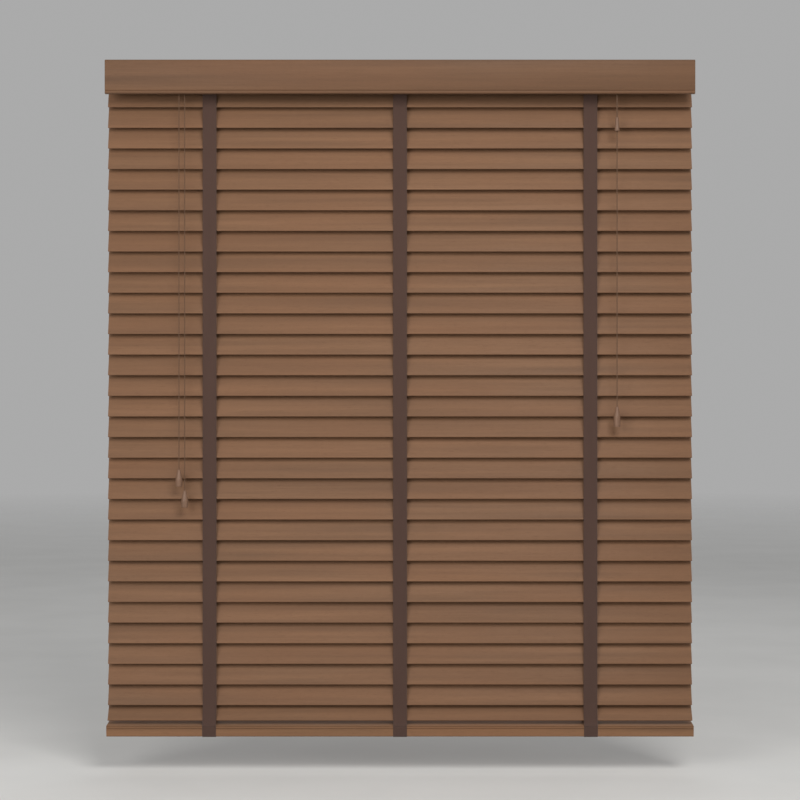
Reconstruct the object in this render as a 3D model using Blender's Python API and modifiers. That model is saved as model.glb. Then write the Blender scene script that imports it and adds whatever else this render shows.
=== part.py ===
"""Venetian blind: wide wood slats on cloth ladder tapes, tilted by one pair of cords and lifted by another.

Metres. +X is to the right as seen from the room, -Y is towards the room, +Z is up.
The origin is the middle of the plane that the two end brackets are screwed up against.
The slats are closed, with their room-side edges down, and the blind is fully lowered.
"""

import math

import bmesh
import bpy
from mathutils import Matrix, Vector

# ---------------------------------------------------------------- driving dimensions
MM = 0.001
GAP = 0.3 * MM

SLAT_COUNT = 31
SLAT_LENGTH = 1200 * MM
SLAT_WIDTH = 50 * MM
SLAT_THICKNESS = 3 * MM
SLAT_EDGE_RADIUS = 1.2 * MM
SLAT_PITCH = 42.37 * MM
FIRST_SLAT_Z = -69 * MM
LAST_SLAT_Z = -1332.1 * MM
CLOSED_TILT = math.radians(70)
LAST_SLAT_TILT = math.radians(52)
SLOT_LENGTH = 18 * MM
SLOT_WIDTH = 5 * MM

LADDER_X = {"left": -391 * MM, "center": 0.0, "right": 391 * MM}
TAPE_WIDTH = 28 * MM
TAPE_THICKNESS = 0.8 * MM
RUNG_WIDTH = 8 * MM
RUNG_OFFSET = 8 * MM
RUNG_THICKNESS = 0.6 * MM
CARRIED_SLATS = (29, 30, 31)

RAIL_LENGTH = 1203 * MM
RAIL_DEPTH = 50 * MM
RAIL_HEIGHT = 22.5 * MM
RAIL_TOP = -1361.3 * MM
RAIL_LEAN = math.radians(4.7)
RAIL_CORNER = 2.5 * MM
RAIL_BEAD_DROP = 3.2 * MM
RAIL_GROOVE = 0.8 * MM
RAIL_HOLE_RADIUS = 2.5 * MM
RAIL_RECESS_RADIUS = 6.5 * MM
RAIL_RECESS_DEPTH = 9 * MM

BRACKET_WALL = 1.2 * MM
BRACKET_END = 601 * MM
BRACKET_REACH = 27 * MM
SCREW_HOLE_RADIUS = 2.3 * MM

HEADRAIL_LENGTH = 1196 * MM
HEADRAIL_DEPTH = 54 * MM
HEADRAIL_HEIGHT = 38 * MM
HEADRAIL_WALL = 1 * MM
HEADRAIL_LIP = 5 * MM
HEADRAIL_TOP = -(BRACKET_WALL + GAP)
HEADRAIL_BOTTOM = HEADRAIL_TOP - HEADRAIL_HEIGHT

VALANCE_LENGTH = 1203 * MM
VALANCE_TOP = -0.5 * MM
VALANCE_BOTTOM = -70 * MM
VALANCE_BACK = -37.5 * MM
VALANCE_THICKNESS = 9.5 * MM
VALANCE_GROOVE_Z = -63 * MM

ROD_Z = -20 * MM
ROD_RADIUS = 3.4 * MM
ROD_LEFT_END = -474 * MM
ROD_RIGHT_END = 415 * MM
DRUM_RADIUS = 13.6 * MM
DRUM_FLANGE_RADIUS = 15.6 * MM
DRUM_LENGTH = 33 * MM
DRUM_FLANGE = 1.8 * MM

TILT_CORD_RADIUS = 0.9 * MM
PULLEY_PITCH_RADIUS = 5.85 * MM
CORD_Y = -32.5 * MM
TILTER_X = -445.8 * MM
GEAR_RADIUS = 8 * MM
GEAR_TEETH = 14
GEAR_WIDTH = 7 * MM
WORM_RADIUS = 3.5 * MM
WORM_Z = ROD_Z - GEAR_RADIUS - WORM_RADIUS - 0.4 * MM
TILT_TASSEL_TOP = {"left": -836.4 * MM, "right": -879.2 * MM}

LIFT_CORD_RADIUS = 1 * MM
LIFT_RUN_Y = 18.5 * MM
LIFT_RUN_Z = -25 * MM
LOCK_X = 443.5 * MM
CONNECTOR_TOP = -116.5 * MM
CONNECTOR_BOTTOM = -144.5 * MM
PULL_TASSEL_TOP = -707.9 * MM
PULL_TASSEL_BOTTOM = -749.2 * MM

COLOURS = {
    "wood": ((0.22, 0.13, 0.08, 1.0), 0.45, 0.0),
    "tape": ((0.09, 0.055, 0.045, 1.0), 0.9, 0.0),
    "cord": ((0.2, 0.12, 0.08, 1.0), 0.85, 0.0),
    "tassel": ((0.25, 0.15, 0.1, 1.0), 0.4, 0.0),
    "painted_steel": ((0.16, 0.1, 0.07, 1.0), 0.4, 0.0),
    "bright_steel": ((0.6, 0.6, 0.6, 1.0), 0.35, 1.0),
    "plastic": ((0.75, 0.72, 0.66, 1.0), 0.5, 0.0),
}

# ---------------------------------------------------------------- scene and materials
for old in list(bpy.data.objects):
    bpy.data.objects.remove(old, do_unlink=True)

PARTS = bpy.data.collections.new("venetian_blind")
CUTTERS = bpy.data.collections.new("venetian_blind_cutters")
bpy.context.scene.collection.children.link(PARTS)
bpy.context.scene.collection.children.link(CUTTERS)


def material(node, kind):
    """A new Principled BSDF material for one node."""
    colour, roughness, metallic = COLOURS[kind]
    made = bpy.data.materials.new(node + "_" + kind)
    made.use_nodes = True
    shader = made.node_tree.nodes["Principled BSDF"]
    shader.inputs["Base Color"].default_value = colour
    shader.inputs["Roughness"].default_value = roughness
    shader.inputs["Metallic"].default_value = metallic
    return made


def add_part(thing, kind):
    """Puts an object among the parts, with its own material."""
    if thing.name not in PARTS.objects:
        PARTS.objects.link(thing)
    thing.data.materials.clear()
    thing.data.materials.append(material(thing.name, kind))
    return thing


# ---------------------------------------------------------------- modelling tools
# Local X, Y and Z of an outline turned into world Y, Z and X: a section swept along the blind.
ALONG_X = Matrix(((0, 0, 1), (1, 0, 0), (0, 1, 0))).to_4x4()
# Local Z turned into world X, and into world -Y, for turned pieces.
SPIN_X = Matrix.Rotation(math.radians(90), 4, "Y")
SPIN_Y = Matrix.Rotation(math.radians(90), 4, "X")


def poly_curve(name, loops, closed):
    curve = bpy.data.curves.new(name, "CURVE")
    curve.dimensions = "2D" if closed else "3D"
    for loop in loops:
        spline = curve.splines.new("POLY")
        spline.points.add(len(loop) - 1)
        for point, place in zip(spline.points, loop):
            point.co = (*Vector(place).to_3d(), 1.0)
        spline.use_cyclic_u = closed
    return curve


def section(name, loops, length, edge=0.0):
    """A flat outline with any holes, given thickness along local Z and, with edge, rounded rims."""
    curve = poly_curve(name, loops, closed=True)
    curve.fill_mode = "BOTH"
    curve.extrude = length / 2 - edge
    curve.bevel_depth = edge
    curve.bevel_resolution = 1
    curve.offset = -edge
    return bpy.data.objects.new(name, curve)


def tube(name, route, radius):
    """A round cord through a list of points, with its ends capped."""
    curve = poly_curve(name, [route], closed=False)
    curve.bevel_depth = radius
    curve.bevel_resolution = 2
    curve.use_fill_caps = True
    return bpy.data.objects.new(name, curve)


def as_mesh(thing):
    """The same piece as a welded mesh, which a Boolean can cut or join."""
    PARTS.objects.link(thing)
    depsgraph = bpy.context.evaluated_depsgraph_get()
    mesh = bpy.data.meshes.new_from_object(thing.evaluated_get(depsgraph))
    work = bmesh.new()
    work.from_mesh(mesh)
    bmesh.ops.remove_doubles(work, verts=work.verts, dist=1e-6)
    work.to_mesh(mesh)
    work.free()
    name = thing.name
    place = thing.matrix_world.copy()
    bpy.data.objects.remove(thing, do_unlink=True)
    made = bpy.data.objects.new(name, mesh)
    made.matrix_world = place
    PARTS.objects.link(made)
    return made


def box(name, low, high):
    """A cuboid between two corners, with its origin at its middle."""
    low, high = Vector(low), Vector(high)
    work = bmesh.new()
    bmesh.ops.create_cube(work, size=1.0, matrix=Matrix.Diagonal((*(high - low), 1.0)))
    mesh = bpy.data.meshes.new(name)
    work.to_mesh(mesh)
    work.free()
    made = bpy.data.objects.new(name, mesh)
    made.location = (low + high) / 2
    return made


def rod(name, start, end, radius, sides):
    """A straight bar between two points."""
    start, end = Vector(start), Vector(end)
    work = bmesh.new()
    bmesh.ops.create_cone(
        work, cap_ends=True, segments=sides, radius1=radius, radius2=radius, depth=(end - start).length
    )
    mesh = bpy.data.meshes.new(name)
    work.to_mesh(mesh)
    work.free()
    made = bpy.data.objects.new(name, mesh)
    made.rotation_mode = "QUATERNION"
    made.rotation_quaternion = (end - start).to_track_quat("Z", "Y")
    made.location = (start + end) / 2
    return made


def turned(name, profile, steps):
    """A profile of (radius, height) points, top to bottom, turned about local Z."""
    mesh = bpy.data.meshes.new(name)
    work = bmesh.new()
    verts = [work.verts.new((radius, 0.0, height)) for radius, height in profile]
    for first, second in zip(verts, verts[1:]):
        work.edges.new((first, second))
    if profile[0][0] > 0 and profile[-1][0] > 0:
        work.edges.new((verts[-1], verts[0]))
    work.to_mesh(mesh)
    work.free()
    made = bpy.data.objects.new(name, mesh)
    screw = made.modifiers.new("turn", "SCREW")
    screw.steps = steps
    screw.render_steps = steps
    screw.use_merge_vertices = True
    screw.merge_threshold = 1e-5
    screw.use_smooth_shade = True
    return made


def combine(target, other, operation):
    """Cuts another object out of a part, or joins it on."""
    CUTTERS.objects.link(other)
    other.hide_render = True
    other.display_type = "WIRE"
    boolean = target.modifiers.new(other.name, "BOOLEAN")
    boolean.operation = operation
    boolean.object = other


def cut(target, other):
    combine(target, other, "DIFFERENCE")


def join(target, other):
    combine(target, other, "UNION")


def arc(centre, radius, start, end, count):
    """Points on a circle arc, between two angles in degrees."""
    angles = [math.radians(start + (end - start) * i / (count - 1)) for i in range(count)]
    return [(centre[0] + radius * math.cos(a), centre[1] + radius * math.sin(a)) for a in angles]


def rounded_rectangle(low, high, radius, count):
    """The outline of a rectangle with round corners, anticlockwise."""
    inner_low = (low[0] + radius, low[1] + radius)
    inner_high = (high[0] - radius, high[1] - radius)
    return (
        arc(inner_low, radius, 180, 270, count)
        + arc((inner_high[0], inner_low[1]), radius, 270, 360, count)
        + arc(inner_high, radius, 0, 90, count)
        + arc((inner_low[0], inner_high[1]), radius, 90, 180, count)
    )


# ---------------------------------------------------------------- slats
def slat_height(number):
    if number == SLAT_COUNT:
        return LAST_SLAT_Z
    return FIRST_SLAT_Z - (number - 1) * SLAT_PITCH


def slat_tilt(number):
    return LAST_SLAT_TILT if number == SLAT_COUNT else CLOSED_TILT


def slot_outline():
    """The round-ended slot that a lift cord and a tilting slat need."""
    reach = SLOT_LENGTH / 2 - SLOT_WIDTH / 2
    return arc((0, -reach), SLOT_WIDTH / 2, 180, 360, 5) + arc((0, reach), SLOT_WIDTH / 2, 0, 180, 5)


def make_slats():
    """One round-edged board, slotted at each ladder and copied to every place."""
    half = Vector((SLAT_WIDTH / 2, SLAT_THICKNESS / 2))
    board = section("slat_shape", [rounded_rectangle(-half, half, SLAT_EDGE_RADIUS, 3)], SLAT_LENGTH)
    board.matrix_world = ALONG_X
    board = as_mesh(board)
    for side, x in LADDER_X.items():
        slot = section("slot_" + side, [slot_outline()], 4 * SLAT_THICKNESS)
        slot.location.x = x
        slot = as_mesh(slot)
        PARTS.objects.unlink(slot)
        cut(board, slot)
    bpy.context.view_layer.update()
    depsgraph = bpy.context.evaluated_depsgraph_get()
    shape = bpy.data.meshes.new_from_object(board.evaluated_get(depsgraph))
    shape.transform(ALONG_X)
    bpy.data.objects.remove(board)
    for number in range(1, SLAT_COUNT + 1):
        slat = bpy.data.objects.new(f"slat_{number:02d}", shape.copy())
        slat.location.z = slat_height(number)
        slat.rotation_euler.x = slat_tilt(number)
        add_part(slat, "wood")


# ---------------------------------------------------------------- headrail, brackets and valance
def make_headrail():
    half = HEADRAIL_DEPTH / 2
    inner = half - HEADRAIL_WALL
    floor = HEADRAIL_BOTTOM + HEADRAIL_WALL
    under_lip = HEADRAIL_TOP - HEADRAIL_WALL
    lip = half - HEADRAIL_LIP
    right_side = [(half, HEADRAIL_BOTTOM), (half, HEADRAIL_TOP), (lip, HEADRAIL_TOP), (lip, under_lip)]
    right_side += [(inner, under_lip), (inner, floor)]
    left_side = [(-y, z) for y, z in reversed(right_side)]
    channel = section("headrail", [right_side + left_side], HEADRAIL_LENGTH)
    channel.matrix_world = ALONG_X
    channel = as_mesh(channel)
    for side, x in LADDER_X.items():
        low = (x - 19 * MM, -25 * MM, HEADRAIL_BOTTOM - 5 * MM)
        high = (x + 19 * MM, 23 * MM, floor + 2 * MM)
        cut(channel, box("ladder_opening_" + side, low, high))
    for name, x in (("tilter_window", TILTER_X), ("lock_window", LOCK_X)):
        low = (x - 9 * MM, -half - 5 * MM, HEADRAIL_BOTTOM + 2 * MM)
        high = (x + 9 * MM, -inner + 2 * MM, HEADRAIL_BOTTOM + 17 * MM)
        cut(channel, box(name, low, high))
    add_part(channel, "painted_steel")


def make_bracket(side, sign):
    """A box bracket round one end of the headrail, open to the middle of the blind."""
    depth = HEADRAIL_DEPTH / 2 + GAP
    floor = HEADRAIL_BOTTOM - GAP
    inner_end = sign * (BRACKET_END - BRACKET_REACH)
    outer_end = sign * BRACKET_END
    wall_end = sign * (BRACKET_END - BRACKET_WALL)
    past_end = inner_end - sign * 5 * MM
    xs = sorted((inner_end, outer_end))
    hollow = sorted((past_end, wall_end))
    low = (xs[0], -depth - BRACKET_WALL, floor - BRACKET_WALL)
    bracket = box("bracket_" + side, low, (xs[1], depth + BRACKET_WALL, 0.0))
    space = box("bracket_space_" + side, (hollow[0], -depth, floor), (hollow[1], depth, -BRACKET_WALL))
    cut(bracket, space)
    middle = sign * (BRACKET_END - BRACKET_REACH / 2)
    for row, y in (("front", -14 * MM), ("back", 14 * MM)):
        place = Vector((middle, y, 0.0))
        up = Vector((0.0, 0.0, 3 * MM))
        cut(bracket, rod(f"top_screw_{row}_{side}", place - up, place + up, SCREW_HOLE_RADIUS, 8))
    for row, z in (("upper", -10 * MM), ("lower", -31 * MM)):
        place = Vector((middle, depth, z))
        out = Vector((0.0, 3 * MM, 0.0))
        cut(bracket, rod(f"back_screw_{row}_{side}", place - out, place + out, SCREW_HOLE_RADIUS, 8))
        place = Vector((outer_end, 0.0, z))
        across = Vector((3 * MM, 0.0, 0.0))
        cut(bracket, rod(f"end_screw_{row}_{side}", place - across, place + across, SCREW_HOLE_RADIUS, 8))
    add_part(bracket, "painted_steel")


def make_valance():
    """A moulded board: eased top edge, a quirk above a rounded bead along the bottom."""
    back = VALANCE_BACK
    front = VALANCE_BACK - VALANCE_THICKNESS
    bead = (VALANCE_GROOVE_Z - VALANCE_BOTTOM) / 2
    centre = VALANCE_BOTTOM + bead
    outline = [(back, VALANCE_BOTTOM), (back, VALANCE_TOP)]
    outline += arc((front + 3 * MM, VALANCE_TOP - 3 * MM), 3 * MM, 90, 180, 4)
    outline += [(front, VALANCE_GROOVE_Z + 1.5 * MM), (front + 1.5 * MM, VALANCE_GROOVE_Z)]
    outline += arc((front + bead, centre), bead, 150, 270, 6)
    valance = section("valance", [outline], VALANCE_LENGTH)
    valance.matrix_world = ALONG_X
    add_part(valance, "wood")


# ---------------------------------------------------------------- tilt mechanism
def make_tilt_rod():
    bar = rod("tilt_rod", (ROD_LEFT_END, 0, ROD_Z), (ROD_RIGHT_END, 0, ROD_Z), ROD_RADIUS, 6)
    teeth = []
    for tooth in range(GEAR_TEETH):
        middle = 360 * tooth / GEAR_TEETH
        for swing, radius in ((-8, 0.8), (-4, 1.0), (4, 1.0), (8, 0.8)):
            angle = math.radians(middle + swing)
            teeth.append((GEAR_RADIUS * radius * math.cos(angle), GEAR_RADIUS * radius * math.sin(angle)))
    gear = section("tilter_gear", [teeth], GEAR_WIDTH)
    gear.matrix_world = Matrix.Translation((TILTER_X, 0, ROD_Z)) @ ALONG_X
    gear = as_mesh(gear)
    PARTS.objects.unlink(gear)
    join(bar, gear)
    add_part(bar, "bright_steel")


def make_drum(side, x):
    """A spool on the tilt rod that the ladder tape hangs over."""
    half = DRUM_LENGTH / 2
    cheek = half - DRUM_FLANGE
    bore = ROD_RADIUS + 0.6 * MM
    profile = [(bore, half), (DRUM_FLANGE_RADIUS, half), (DRUM_FLANGE_RADIUS, cheek), (DRUM_RADIUS, cheek)]
    profile += [(radius, -height) for radius, height in reversed(profile)]
    drum = turned("tilt_drum_" + side, profile, 20)
    drum.matrix_world = Matrix.Translation((x, 0, ROD_Z)) @ SPIN_X
    add_part(drum, "plastic")


def make_tilter():
    """A housing, open on top, round the gear on the rod and the worm that the cords turn."""
    low = Vector((TILTER_X - 22 * MM, -25.5 * MM, HEADRAIL_BOTTOM + HEADRAIL_WALL + GAP))
    high = Vector((TILTER_X + 22 * MM, 22 * MM, -6 * MM))
    wall = Vector((2.5 * MM, 2.5 * MM, 2 * MM))
    housing = box("tilter_housing", low, high)
    cut(housing, box("tilter_space", low + wall, (high.x - wall.x, high.y - wall.y, 5 * MM)))
    rod_hole = rod("tilter_rod_hole", (low.x - wall.x, 0, ROD_Z), (high.x + wall.x, 0, ROD_Z), 4.2 * MM, 16)
    cut(housing, rod_hole)
    front = low.y - wall.y
    shaft_hole = rod("tilter_shaft_hole", (TILTER_X, front, WORM_Z), (TILTER_X, -18 * MM, WORM_Z), 3 * MM, 16)
    cut(housing, shaft_hole)
    add_part(housing, "plastic")

    flange = 7.2 * MM
    groove = PULLEY_PITCH_RADIUS - TILT_CORD_RADIUS - GAP
    shaft = 2.4 * MM
    pulley_front = CORD_Y - 3 * MM
    face = -pulley_front
    profile = [(0.0, face), (flange, face), (flange, face - 1.2 * MM), (groove, face - 1.7 * MM)]
    profile += [(groove, face - 4.3 * MM), (flange, face - 4.8 * MM)]
    profile += [(flange, face - 6 * MM), (shaft, face - 6 * MM)]
    thread_start = 9 * MM
    pitch = math.tau * GEAR_RADIUS / GEAR_TEETH
    for turn in range(5):
        height = thread_start - turn * pitch
        profile += [(shaft, height), (WORM_RADIUS, height - 0.3 * pitch), (WORM_RADIUS, height - 0.5 * pitch)]
        profile += [(shaft, height - 0.8 * pitch)]
    profile += [(shaft, -15 * MM), (0.0, -15 * MM)]
    pulley = turned("tilter_pulley", profile, 14)
    pulley.matrix_world = Matrix.Translation((TILTER_X, 0, WORM_Z)) @ SPIN_Y
    add_part(pulley, "plastic")


def make_tilt_cord(side, sign):
    """Half of the tilt cord: over the pulley from its top, and straight down into the tassel."""
    start = 90 - sign * 5
    end = 90 - sign * 90
    over = arc((TILTER_X, WORM_Z), PULLEY_PITCH_RADIUS, start, end, 7)
    bottom = TILT_TASSEL_TOP[side] - 14 * MM
    route = [Vector((x, CORD_Y, z)) for x, z in over]
    count = 12
    top = route[-1].z
    route += [Vector((route[-1].x, CORD_Y, top + (bottom - top) * i / count)) for i in range(1, count + 1)]
    add_part(tube("tilt_cord_" + side, route, TILT_CORD_RADIUS), "cord")


def tassel(name, place, profile):
    made = turned(name, profile, 16)
    made.location = place
    return add_part(made, "tassel")


def make_tilt_tassel(side, sign):
    """A bell-shaped tassel, open below, with a bore for its cord."""
    x = TILTER_X + sign * PULLEY_PITCH_RADIUS
    bore = TILT_CORD_RADIUS + 0.4 * MM
    length = 34.5 * MM
    profile = [(bore, 0.0), (2.7 * MM, 0.0), (3.1 * MM, -0.8 * MM), (5.2 * MM, -10.5 * MM)]
    profile += [(7.1 * MM, -19.5 * MM), (7.25 * MM, -21.5 * MM), (6.5 * MM, -33.5 * MM), (6.0 * MM, -length)]
    profile += [(4.4 * MM, -length), (4.4 * MM, -17 * MM), (bore, -12 * MM)]
    tassel("tilt_tassel_" + side, (x, CORD_Y, TILT_TASSEL_TOP[side]), profile)


# ---------------------------------------------------------------- bottom rail and ladders
def leaned(points):
    """Points of the level rail, turned about its top front edge so that its back stands higher."""
    front = -RAIL_DEPTH / 2
    cosine, sine = math.cos(RAIL_LEAN), math.sin(RAIL_LEAN)
    turned_points = []
    for y, z in points:
        out, up = y - front, z - RAIL_TOP
        turned_points.append((front + out * cosine - up * sine, RAIL_TOP + out * sine + up * cosine))
    return turned_points


def make_bottom_rail():
    half = RAIL_DEPTH / 2
    bottom = RAIL_TOP - RAIL_HEIGHT
    bead = RAIL_BEAD_DROP / 2
    groove_z = RAIL_TOP - RAIL_BEAD_DROP
    outline = arc((-half + RAIL_CORNER, bottom + RAIL_CORNER), RAIL_CORNER, 180, 270, 4)
    outline += arc((half - RAIL_CORNER, bottom + RAIL_CORNER), RAIL_CORNER, 270, 360, 4)
    outline += arc((half - RAIL_CORNER, RAIL_TOP - RAIL_CORNER), RAIL_CORNER, 0, 90, 4)
    outline += arc((-half + bead, RAIL_TOP - bead), bead, 90, 210, 5)
    outline += [(-half + RAIL_GROOVE, groove_z), (-half, groove_z - RAIL_GROOVE)]
    rail = section("bottom_rail", [leaned(outline)], RAIL_LENGTH)
    rail.matrix_world = ALONG_X
    rail = as_mesh(rail)
    for side, x in LADDER_X.items():
        low = (x, 0.0, bottom - 5 * MM)
        cut(rail, rod("cord_hole_" + side, low, (x, 0.0, RAIL_TOP + 5 * MM), RAIL_HOLE_RADIUS, 8))
        recess_top = (x, 0.0, bottom + RAIL_RECESS_DEPTH)
        cut(rail, rod("cord_recess_" + side, low, recess_top, RAIL_RECESS_RADIUS, 12))
    add_part(rail, "wood")


def strip(name, x, route, width, thickness):
    """A flat tape of one width along a route of (y, z) points; its thickness lies on both sides."""
    curve = poly_curve(name, [route], closed=False)
    curve.extrude = width / 2
    made = bpy.data.objects.new(name, curve)
    made.matrix_world = Matrix.Translation((x, 0, 0)) @ ALONG_X
    solidify = made.modifiers.new("thickness", "SOLIDIFY")
    solidify.thickness = thickness
    solidify.offset = 0.0
    return made


def tape_route(sign):
    """From the top of the drum, down past the slats' edges, round the rail and under it."""
    half = TAPE_THICKNESS / 2
    drum_radius = DRUM_RADIUS + GAP + half
    slat_edge = SLAT_WIDTH / 2 * math.cos(CLOSED_TILT) + SLAT_THICKNESS / 2 * math.sin(CLOSED_TILT)
    last_edge = SLAT_WIDTH / 2 * math.cos(LAST_SLAT_TILT) + SLAT_THICKNESS / 2
    last_drop = sign * SLAT_WIDTH / 2 * math.sin(LAST_SLAT_TILT)
    edge_drop = sign * SLAT_WIDTH / 2 * math.sin(CLOSED_TILT)
    clear = GAP + half
    face = RAIL_DEPTH / 2 + clear
    under = RAIL_TOP - RAIL_HEIGHT - clear
    hanging = [(-y, z) for y, z in arc((0, ROD_Z), drum_radius, 84, 0, 9)]
    hanging += [(-slat_edge - clear, slat_height(1) - edge_drop)]
    hanging += [(-slat_edge - clear, slat_height(SLAT_COUNT - 1) - edge_drop)]
    hanging += [(-last_edge - clear, LAST_SLAT_Z - last_drop)]
    round_rail = [(-face, RAIL_TOP - 0.5 * MM)]
    corner = (RAIL_CORNER - RAIL_DEPTH / 2, RAIL_TOP - RAIL_HEIGHT + RAIL_CORNER)
    round_rail += arc(corner, RAIL_CORNER + clear + 0.15 * MM, 180, 270, 5)
    round_rail += [(-RAIL_RECESS_RADIUS - 2 * MM, under)]
    return [(y * sign, z) for y, z in hanging] + leaned([(y * sign, z) for y, z in round_rail])


def make_ladder(side, x):
    for face, sign in (("front", 1), ("back", -1)):
        name = f"{face}_tape_{side}"
        add_part(strip(name, x, tape_route(sign), TAPE_WIDTH, TAPE_THICKNESS), "tape")


def make_rung(number):
    """The cross tape of the middle ladder that a slat lies on, just under it."""
    drop = SLAT_THICKNESS / 2 + GAP + RUNG_THICKNESS / 2
    reach = SLAT_WIDTH / 2 - 3 * MM
    low = (RUNG_OFFSET - RUNG_WIDTH / 2, -reach, -RUNG_THICKNESS / 2)
    rung = box(f"ladder_rung_{number}", low, (low[0] + RUNG_WIDTH, reach, RUNG_THICKNESS / 2))
    tilt = Matrix.Rotation(slat_tilt(number), 4, "X")
    under = Matrix.Translation((RUNG_OFFSET, 0, -drop))
    rung.matrix_world = Matrix.Translation((0, 0, slat_height(number))) @ tilt @ under
    add_part(rung, "tape")


# ---------------------------------------------------------------- lift cords
def make_lift_cords():
    """Three cords from the rail through the slats, joined in the headrail, out through the lock."""
    knot = RAIL_TOP - RAIL_HEIGHT + RAIL_RECESS_DEPTH - 5 * MM
    # Up between the front and back tapes, aside under the drum, then up behind the rod: offsets in mm.
    rise = [(0, 0, -41), (0.7, 0, -38.6), (2.6, 0, -37.3), (18.5, 0, -37.2), (20.5, 2, -36)]
    rise += [(22, 8, -31.5), (23, 14, -27.5), (24, 17.5, -25.4)]

    def upright(ladder_x):
        offsets = [(ladder_x + x * MM, y * MM, z * MM) for x, y, z in rise]
        return [(ladder_x, 0, knot)] + offsets

    run = upright(LADDER_X["left"]) + [(LADDER_X["left"] + 28 * MM, LIFT_RUN_Y, LIFT_RUN_Z)]
    run += [(LOCK_X - 6 * MM, LIFT_RUN_Y, LIFT_RUN_Z), (LOCK_X - 2 * MM, 17 * MM, LIFT_RUN_Z)]
    run += [(LOCK_X, 12 * MM, -26 * MM), (LOCK_X, -20 * MM, -29 * MM), (LOCK_X, -27 * MM, -30.5 * MM)]
    run += [(LOCK_X, -31 * MM, -33 * MM), (LOCK_X, CORD_Y, -37 * MM)]
    run += [(LOCK_X, CORD_Y, CONNECTOR_TOP - 10 * MM)]
    cords = as_mesh(tube("lift_cords", run, LIFT_CORD_RADIUS))
    for side in ("center", "right"):
        branch = upright(LADDER_X[side]) + [(LADDER_X[side] + 26 * MM, LIFT_RUN_Y, LIFT_RUN_Z - 0.1 * MM)]
        piece = as_mesh(tube("lift_branch_" + side, branch, LIFT_CORD_RADIUS * 0.97))
        PARTS.objects.unlink(piece)
        join(cords, piece)
    add_part(cords, "cord")


def make_cord_lock():
    """Two cheeks on a floor with a pin across, which the lift cords run between."""
    low = Vector((LOCK_X - 14 * MM, -25.5 * MM, HEADRAIL_BOTTOM + HEADRAIL_WALL + GAP))
    high = Vector((LOCK_X + 14 * MM, 14 * MM, -8 * MM))
    lock = box("cord_lock", low, high)
    slot_low = (LOCK_X - 4 * MM, low.y - 5 * MM, low.z + 2 * MM)
    cut(lock, box("lock_slot", slot_low, (LOCK_X + 4 * MM, high.y + 5 * MM, 5 * MM)))
    pin_z = -21 * MM
    pin = rod("lock_pin", (LOCK_X - 6 * MM, -14 * MM, pin_z), (LOCK_X + 6 * MM, -14 * MM, pin_z), 3 * MM, 12)
    join(lock, pin)
    add_part(lock, "plastic")


def make_connector():
    """The bell that gathers the three lift cords into one pull cord."""
    bore = LIFT_CORD_RADIUS + 0.4 * MM
    length = CONNECTOR_TOP - CONNECTOR_BOTTOM
    profile = [(bore, 0.0), (2.9 * MM, 0.0), (3.4 * MM, -0.8 * MM), (3.6 * MM, -10 * MM)]
    profile += [(4.6 * MM, -19 * MM), (5.35 * MM, -25 * MM), (5.35 * MM, 1 * MM - length)]
    profile += [(4.6 * MM, -length), (bore, -length)]
    tassel("cord_connector", (LOCK_X, CORD_Y, CONNECTOR_TOP), profile)


def make_pull():
    top = CONNECTOR_TOP - 13 * MM
    bottom = PULL_TASSEL_TOP - 16 * MM
    count = 12
    route = [(LOCK_X, CORD_Y, top + (bottom - top) * i / count) for i in range(count + 1)]
    add_part(tube("pull_cord", route, LIFT_CORD_RADIUS), "cord")
    bore = LIFT_CORD_RADIUS + 0.4 * MM
    length = PULL_TASSEL_TOP - PULL_TASSEL_BOTTOM
    profile = [(bore, 0.0), (2.2 * MM, 0.0), (2.6 * MM, -0.8 * MM), (4.3 * MM, -9 * MM)]
    profile += [(6.3 * MM, -16.5 * MM), (6.9 * MM, -20 * MM), (6.9 * MM, 2.5 * MM - length)]
    profile += [(6.1 * MM, -length)]
    profile += [(4.4 * MM, -length), (4.4 * MM, -20 * MM), (bore, -14 * MM)]
    tassel("pull_tassel", (LOCK_X, CORD_Y, PULL_TASSEL_TOP), profile)


# ---------------------------------------------------------------- the whole blind
make_headrail()
make_bracket("left", -1)
make_bracket("right", 1)
make_valance()
make_tilt_rod()
make_tilter()
for cord_side, cord_sign in (("left", -1), ("right", 1)):
    make_tilt_cord(cord_side, cord_sign)
    make_tilt_tassel(cord_side, cord_sign)
make_slats()
for ladder_side, ladder_x in LADDER_X.items():
    make_drum(ladder_side, ladder_x)
    make_ladder(ladder_side, ladder_x)
for carried in CARRIED_SLATS:
    make_rung(carried)
make_bottom_rail()
make_lift_cords()
make_cord_lock()
make_connector()
make_pull()
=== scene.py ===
"""Looks of a venetian blind with wide wood slats, cloth ladder tapes, tilt cords and lift cords.

Metres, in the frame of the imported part: +X to the right as seen from the room, -Y towards the room, +Z up.
Each finer piece rides on the body of the part that it belongs to.
"""

import math
import random

import bmesh
import bpy
from mathutils import Matrix, Vector


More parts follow.
